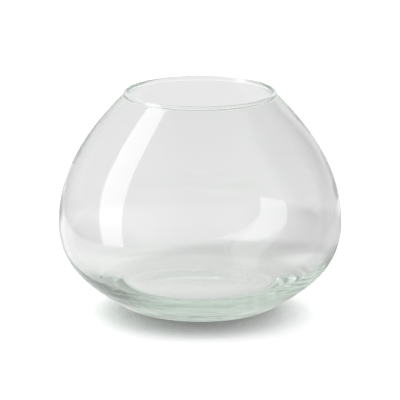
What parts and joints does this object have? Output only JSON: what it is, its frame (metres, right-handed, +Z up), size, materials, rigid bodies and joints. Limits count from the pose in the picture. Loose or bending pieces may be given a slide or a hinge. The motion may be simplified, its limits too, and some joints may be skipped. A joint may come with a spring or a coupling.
{
  "type": "ball vase",
  "caption": "Clear glass ball vase with a thick greenish base, a low round belly, sloping shoulders and a wide open mouth with a rounded lip; holds water and cut flowers.",
  "frame": {"origin": "middle of the foot, on the surface that the vase stands on", "axes": "+Z up along the axis of revolution; X and Y are free, because the vase is round"},
  "size_m": [0.19, 0.19, 0.1455],
  "materials": {
    "clear_glass": "clear and polished, with a faint green tint that shows in the thick base"
  },
  "bodies": {
    "root": {"glass_vessel": "clear_glass"}
  },
  "joints": []
}
